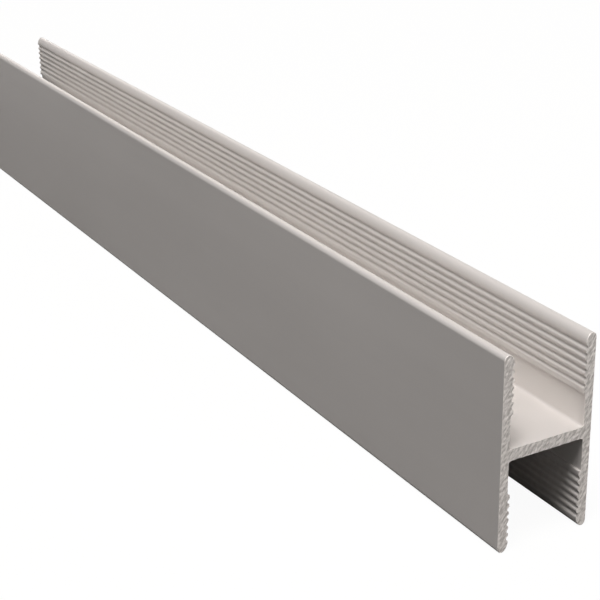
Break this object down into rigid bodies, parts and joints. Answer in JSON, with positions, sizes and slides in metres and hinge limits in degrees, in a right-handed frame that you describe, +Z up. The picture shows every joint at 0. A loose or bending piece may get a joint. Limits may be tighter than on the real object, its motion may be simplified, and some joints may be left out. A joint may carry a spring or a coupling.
{
  "type": "aluminium h-section profile",
  "caption": "Straight length of extruded aluminium H-section profile with grooved inner faces and round lips, for joining two flat sheets edge to edge.",
  "frame": {"origin": "on the floor under the middle of the bar, midway between the two flanges", "axes": "+X along the length of the bar, +Y from one flange to the other, +Z up along the flanges"},
  "size_m": [0.2734, 0.0206, 0.04],
  "materials": {
    "anodised_aluminium": "satin anodised, sawn ends left bare"
  },
  "bodies": {
    "root": {"h_profile": "anodised_aluminium"}
  },
  "joints": []
}
